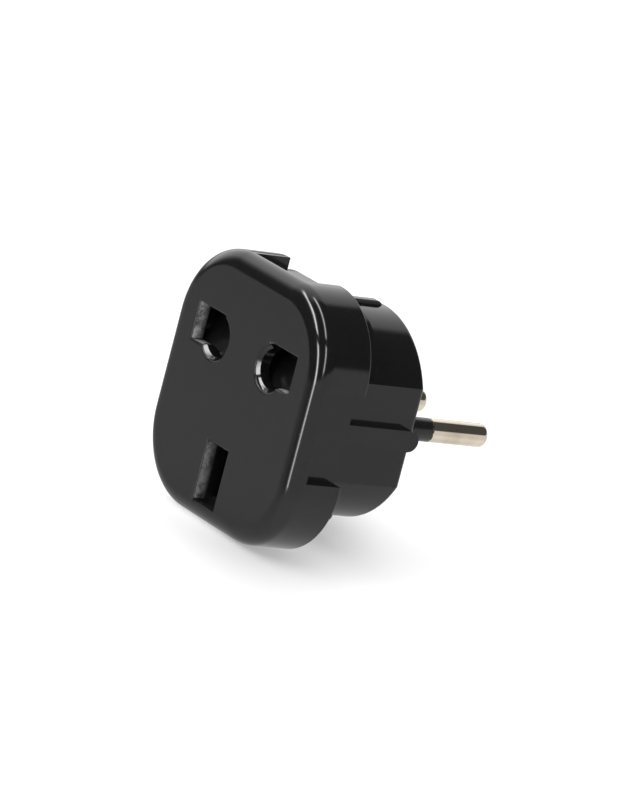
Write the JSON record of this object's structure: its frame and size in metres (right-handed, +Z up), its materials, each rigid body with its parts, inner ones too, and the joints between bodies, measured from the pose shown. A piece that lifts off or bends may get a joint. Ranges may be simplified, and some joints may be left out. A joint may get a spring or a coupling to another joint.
{
  "type": "travel plug adapter",
  "caption": "Travel plug adapter: a square black socket plate for flat or round pins, shuttered, on a round body whose two sleeved round pins fit a wall socket",
  "frame": {"origin": "Middle of the bounding box in plan, at the foot of the socket plate", "axes": "X runs to the right as the socket face is seen, Y runs from the socket face towards the tips of the round pins, Z runs up, with the earth slot at the foot"},
  "size_m": [0.044, 0.0452, 0.0446],
  "materials": {
    "shell_plastic": "glossy moulded black",
    "body_plastic": "glossy moulded black",
    "guard_plastic": "plain moulded",
    "shutter_plastic": "glossy moulded black",
    "sleeve_plastic": "smooth black",
    "pin_nickel": "bright nickel plating over brass",
    "strap_brass": "rolled strip",
    "jaw_brass": "rolled spring strip",
    "rivet_brass": "turned",
    "washer_steel": "zinc plated",
    "screw_steel": "zinc plated",
    "spring_steel": "drawn wire"
  },
  "bodies": {
    "housing": {"front_shell": "shell_plastic", "rear_housing": "body_plastic", "guard_plate": "guard_plastic", "housing_screws": "screw_steel", "live_pin": "pin_nickel", "live_pin_sleeve": "sleeve_plastic", "live_pin_washer": "washer_steel", "live_contact_strap": "strap_brass", "live_socket_jaw": "jaw_brass", "live_jaw_rivet": "rivet_brass", "neutral_pin": "pin_nickel", "neutral_pin_sleeve": "sleeve_plastic", "neutral_pin_washer": "washer_steel", "neutral_contact_strap": "strap_brass", "neutral_socket_jaw": "jaw_brass", "neutral_jaw_rivet": "rivet_brass"},
    "shutter": {"shutter": "shutter_plastic", "shutter_spring": "spring_steel"}
  },
  "joints": [
    {"name": "shutter_slide", "type": "slide", "parent": "housing", "child": "shutter", "axis": [0, 0, -1], "range_m": [0, 0.0069], "stiffness_N_per_m": 970, "springref_m": -0.0012, "deforming": ["shutter_spring"]}
  ]
}
